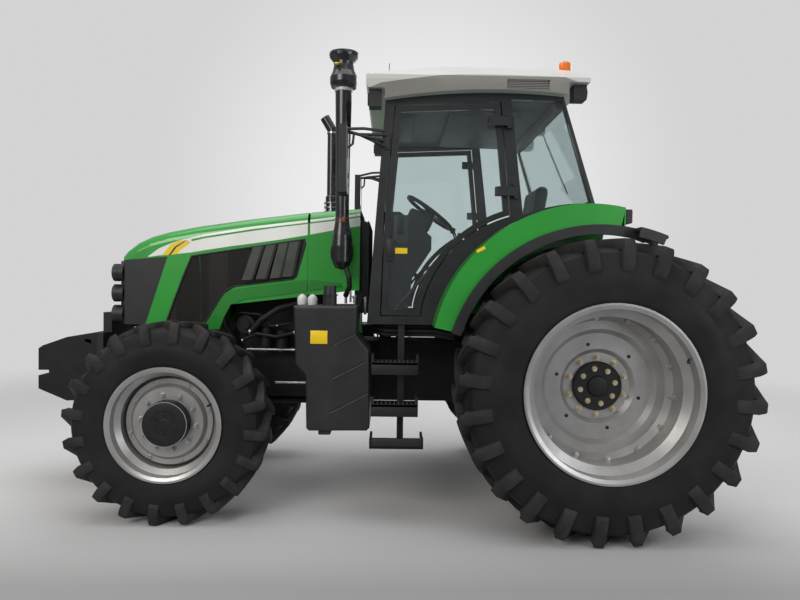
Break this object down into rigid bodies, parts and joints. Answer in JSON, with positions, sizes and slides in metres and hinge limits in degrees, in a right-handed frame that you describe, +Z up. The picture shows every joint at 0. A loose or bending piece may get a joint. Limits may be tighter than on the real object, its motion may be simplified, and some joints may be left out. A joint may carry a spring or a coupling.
{
  "type": "farm tractor",
  "caption": "Farm tractor with a glazed cab, lugged tyres, long tilting hood, front ballast weights, side fuel tank, steps and a rear three-point hitch.",
  "frame": {"origin": "on the floor, under the middle of the tractor's overall length and width", "axes": "+X forward to the nose, +Y to the tractor's left, +Z up"},
  "size_m": [4.7039, 2.43, 2.931],
  "materials": {
    "green_paint": "gloss green enamel",
    "black_paint": "satin black enamel",
    "cast_black": "painted casting",
    "silver_paint": "satin silver enamel",
    "chrome_rod": "polished",
    "tyre": "moulded rubber",
    "black_plastic": "fine grain",
    "grey_plastic": "rotomoulded grain",
    "white_shell": "gelcoat",
    "cab_mat": "ribbed mat",
    "seat_cloth": "woven",
    "clear_glass": "clear tempered",
    "lamp_clear": "clear lens over reflector"
  },
  "bodies": {
    "chassis": {"drivetrain": "cast_black", "engine": "cast_black", "front_frame": "black_paint", "front_axle": "cast_black", "front_weights": "cast_black", "rear_cowl": "green_paint", "stacks": "black_paint", "fuel_tank": "grey_plastic", "battery_box": "grey_plastic", "steps": "black_paint", "cab_frame": "black_paint", "cab_floor": "cab_mat", "console": "black_plastic", "seat": "seat_cloth", "roof": "white_shell", "fixed_glass": "clear_glass", "fender_left": "green_paint", "fender_right": "green_paint", "fender_lips": "black_plastic", "lamps": "black_plastic", "mirrors": "black_plastic", "drawbar": "black_paint"},
    "steering_rod": {"steering_rod": "chrome_rod"},
    "knuckle_left": {"knuckle_left": "cast_black"},
    "knuckle_right": {"knuckle_right": "cast_black"},
    "wheel_front_left": {"front_tyre_left": "tyre", "front_rim_left": "silver_paint"},
    "wheel_front_right": {"front_tyre_right": "tyre", "front_rim_right": "silver_paint"},
    "wheel_rear_left": {"rear_tyre_left": "tyre", "rear_rim_left": "silver_paint"},
    "wheel_rear_right": {"rear_tyre_right": "tyre", "rear_rim_right": "silver_paint"},
    "steering_wheel": {"steering_wheel": "black_plastic"},
    "door_left": {"door_left": "black_paint", "door_glass_left": "clear_glass"},
    "door_right": {"door_right": "black_paint", "door_glass_right": "clear_glass"},
    "hood": {"hood_shell": "green_paint", "nose_grille": "black_plastic", "side_grilles": "black_plastic", "headlamps": "lamp_clear"},
    "lower_links": {"lower_links": "black_paint"},
    "lift_arms": {"lift_arms": "black_paint"},
    "lift_rods": {"lift_rods": "black_paint"}
  },
  "joints": [
    {"name": "steer_left", "type": "hinge", "parent": "chassis", "child": "knuckle_left", "pos_m": [1.28, 0.6, 0.608], "axis": [0, 0, 1], "range_deg": [-40, 40]},
    {"name": "steer_right", "type": "hinge", "parent": "chassis", "child": "knuckle_right", "pos_m": [1.28, -0.6, 0.608], "axis": [0, 0, 1], "range_deg": [-40, 40]},
    {"name": "steering_rod_slide", "type": "slide", "parent": "chassis", "child": "steering_rod", "axis": [0, 1, 0], "range_m": [-0.11, 0.11]},
    {"name": "roll_front_left", "type": "hinge", "parent": "knuckle_left", "child": "wheel_front_left", "pos_m": [1.28, 0.76, 0.608], "axis": [0, 1, 0], "continuous": true},
    {"name": "roll_front_right", "type": "hinge", "parent": "knuckle_right", "child": "wheel_front_right", "pos_m": [1.28, -0.76, 0.608], "axis": [0, 1, 0], "continuous": true},
    {"name": "roll_rear_left", "type": "hinge", "parent": "chassis", "child": "wheel_rear_left", "pos_m": [-1.3, 0.985, 0.868], "axis": [0, 1, 0], "continuous": true},
    {"name": "roll_rear_right", "type": "hinge", "parent": "chassis", "child": "wheel_rear_right", "pos_m": [-1.3, -0.985, 0.868], "axis": [0, 1, 0], "continuous": true},
    {"name": "steering_wheel_turn", "type": "hinge", "parent": "chassis", "child": "steering_wheel", "pos_m": [-0.33, 0, 1.98], "axis": [-0.5878, 0, 0.809], "continuous": true},
    {"name": "door_left_swing", "type": "hinge", "parent": "chassis", "child": "door_left", "pos_m": [-0.808, 0.766, 2.04], "axis": [0.1122, 0, 0.9937], "range_deg": [0, 80]},
    {"name": "door_right_swing", "type": "hinge", "parent": "chassis", "child": "door_right", "pos_m": [-0.808, -0.766, 2.04], "axis": [0.1122, 0, 0.9937], "range_deg": [-80, 0]},
    {"name": "hood_tilt", "type": "hinge", "parent": "chassis", "child": "hood", "pos_m": [0.525, 0, 1.912], "axis": [0, -1, 0], "range_deg": [0, 50]},
    {"name": "hitch_lift", "type": "hinge", "parent": "chassis", "child": "lower_links", "pos_m": [-1.38, 0, 0.6], "axis": [0, 1, 0], "range_deg": [-10, 22]},
    {"name": "lift_arm_turn", "type": "hinge", "parent": "chassis", "child": "lift_arms", "pos_m": [-1.48, 0, 1.19], "axis": [0, 1, 0], "range_deg": [-16, 35]},
    {"name": "lift_rod_turn", "type": "hinge", "parent": "lift_arms", "child": "lift_rods", "pos_m": [-1.76, 0, 1.25], "axis": [0, 1, 0], "range_deg": [-31, 14]}
  ],
  "couplings": [
    {"joint": "steer_right", "follows": "steer_left", "ratio": 1},
    {"joint": "steering_rod_slide", "follows": "steer_left", "m_per_rad": -0.147},
    {"joint": "lift_arm_turn", "follows": "hitch_lift", "ratio": 1.55},
    {"joint": "lift_rod_turn", "follows": "hitch_lift", "ratio": -1.37}
  ]
}
